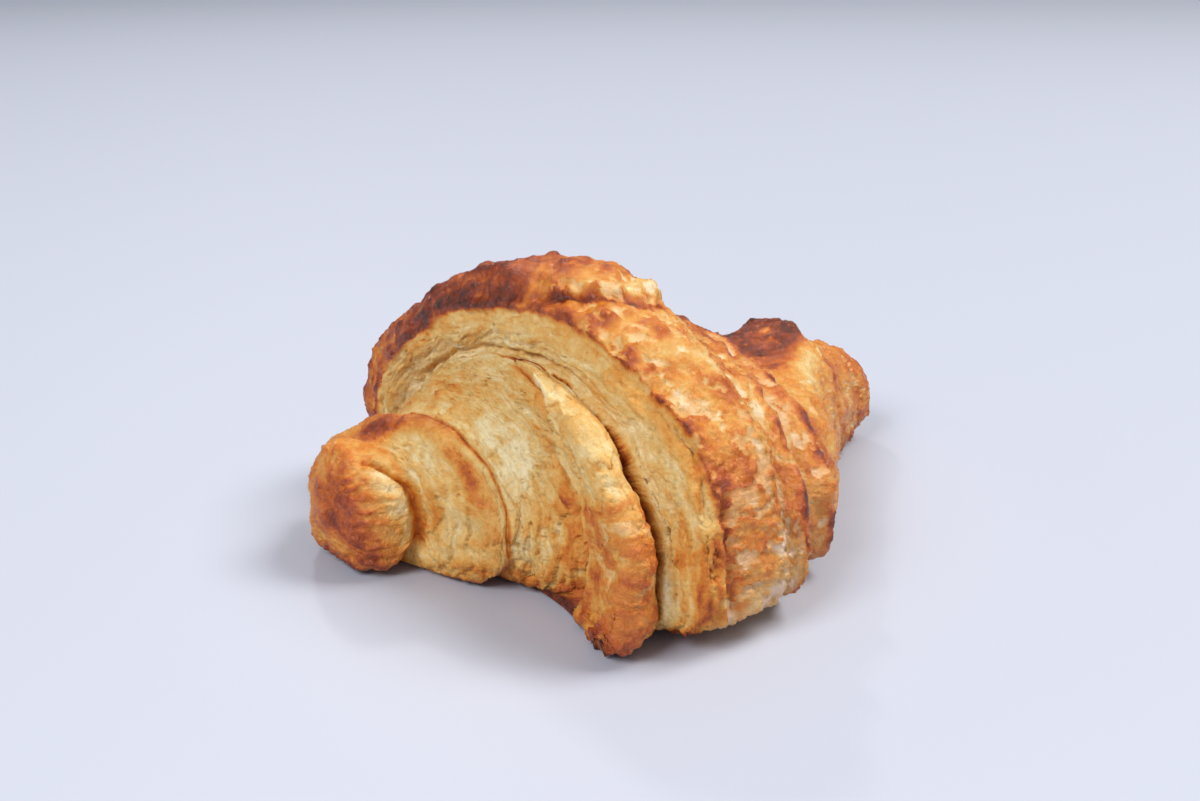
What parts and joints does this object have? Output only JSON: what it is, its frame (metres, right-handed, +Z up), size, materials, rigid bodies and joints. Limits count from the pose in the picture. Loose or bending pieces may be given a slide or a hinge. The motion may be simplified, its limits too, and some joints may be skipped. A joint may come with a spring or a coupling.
{
  "type": "croissant",
  "caption": "Small baked croissant, a spindle of rolled layered dough with stepped turns, a tall hump and an open cleft at the front.",
  "frame": {"origin": "under the middle of the bounding box, on the plane the croissant rests on", "axes": "+X along the roll from the plump core end to the slim end, -Y towards the front side with the open cleft, +Z up"},
  "size_m": [0.1072, 0.085, 0.0432],
  "materials": {
    "crust": "golden baked crust, satin where glazed"
  },
  "bodies": {
    "root": {"croissant": "crust"}
  },
  "joints": []
}
